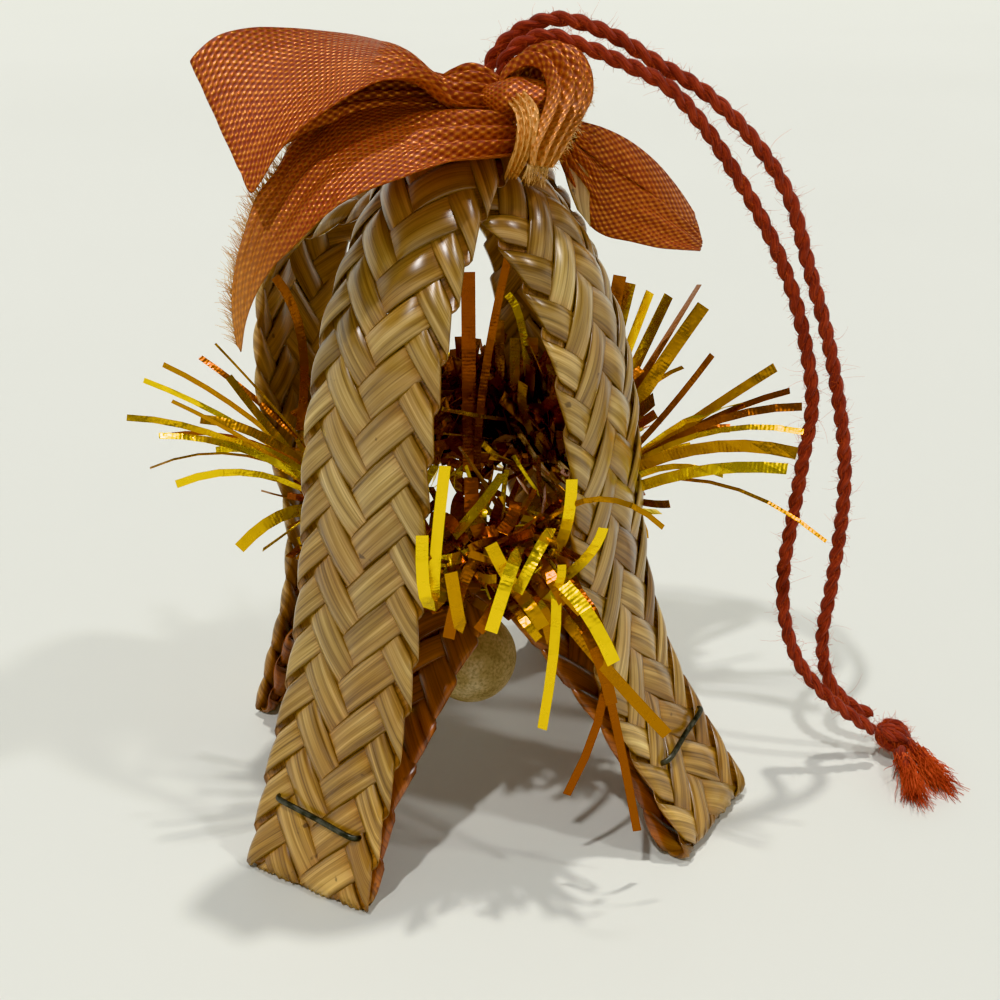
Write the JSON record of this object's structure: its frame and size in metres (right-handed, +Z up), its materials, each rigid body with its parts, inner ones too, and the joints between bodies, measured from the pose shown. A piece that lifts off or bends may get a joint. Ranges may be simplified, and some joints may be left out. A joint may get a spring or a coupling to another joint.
{
  "type": "straw bell ornament",
  "caption": "Plaited straw bell on splayed feet, with a bead clapper, a ring of gold tinsel, a copper ribbon bow and a yarn hanging loop.",
  "frame": {"origin": "on the table, under the middle of the bell where the two bands cross", "axes": "+Z up; -Y along the leg that the bow's front tail falls over, +X along the leg on the yarn loop's side"},
  "size_m": [0.0967, 0.0757, 0.0974],
  "materials": {
    "straw": "plaited dyed straw, satin",
    "steel": "dull galvanised wire",
    "bead": "matt, mottled",
    "thread": "twisted cotton",
    "foil": "metallised gold film",
    "ribbon": "open weave with metallic threads",
    "wool": "two-ply, fuzzy"
  },
  "bodies": {
    "root": {"straw_band_over": "straw", "straw_band_under": "straw", "staple_front": "steel", "staple_back": "steel", "staple_left": "steel", "staple_right": "steel", "clapper_bead": "bead", "clapper_thread": "thread", "tinsel_garland": "foil", "ribbon_bow": "ribbon", "yarn_run_outer": "wool", "yarn_run_inner": "wool", "yarn_knot": "wool"}
  },
  "joints": []
}
